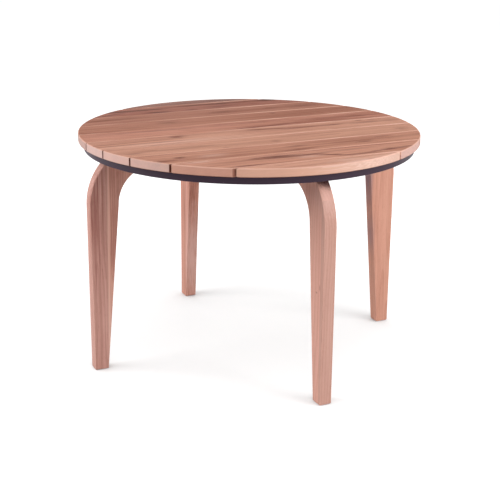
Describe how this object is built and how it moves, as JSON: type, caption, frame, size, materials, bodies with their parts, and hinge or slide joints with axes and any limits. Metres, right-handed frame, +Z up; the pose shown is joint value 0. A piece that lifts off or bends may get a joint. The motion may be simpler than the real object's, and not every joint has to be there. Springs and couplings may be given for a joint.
{
  "type": "dining table",
  "caption": "Round slatted wooden dining table with a dark steel hoop frame under the top and tapered knee-shaped legs.",
  "frame": {"origin": "on the floor, below the middle of the round top", "axes": "+Z up, +X along the slats and over the right leg, +Y across the slats and over the back leg"},
  "size_m": [1.1, 1.1, 0.745],
  "materials": {
    "slat_wood": "oiled satin, reddish brown, straight grain with dark streaks",
    "leg_wood": "oiled satin, reddish brown, upright grain",
    "frame_paint": "satin powder coat, anthracite",
    "zinc_steel": "zinc plated",
    "glide_nylon": "matt black nylon"
  },
  "bodies": {
    "root": {"slat_01": "slat_wood", "slat_02": "slat_wood", "slat_03": "slat_wood", "slat_04": "slat_wood", "slat_05": "slat_wood", "slat_06": "slat_wood", "slat_07": "slat_wood", "slat_08": "slat_wood", "slat_09": "slat_wood", "slat_10": "slat_wood", "hoop": "frame_paint", "rail_long": "frame_paint", "rail_cross_front": "frame_paint", "rail_cross_back": "frame_paint", "batten_left_front": "frame_paint", "batten_left_back": "frame_paint", "batten_right_front": "frame_paint", "batten_right_back": "frame_paint", "slat_lugs": "frame_paint", "leg_right": "leg_wood", "leg_back": "leg_wood", "leg_left": "leg_wood", "leg_front": "leg_wood", "slat_screws": "zinc_steel", "leg_bolts": "zinc_steel", "leg_washers": "zinc_steel", "leg_nuts": "zinc_steel", "glide_right": "glide_nylon", "glide_back": "glide_nylon", "glide_left": "glide_nylon", "glide_front": "glide_nylon"}
  },
  "joints": []
}
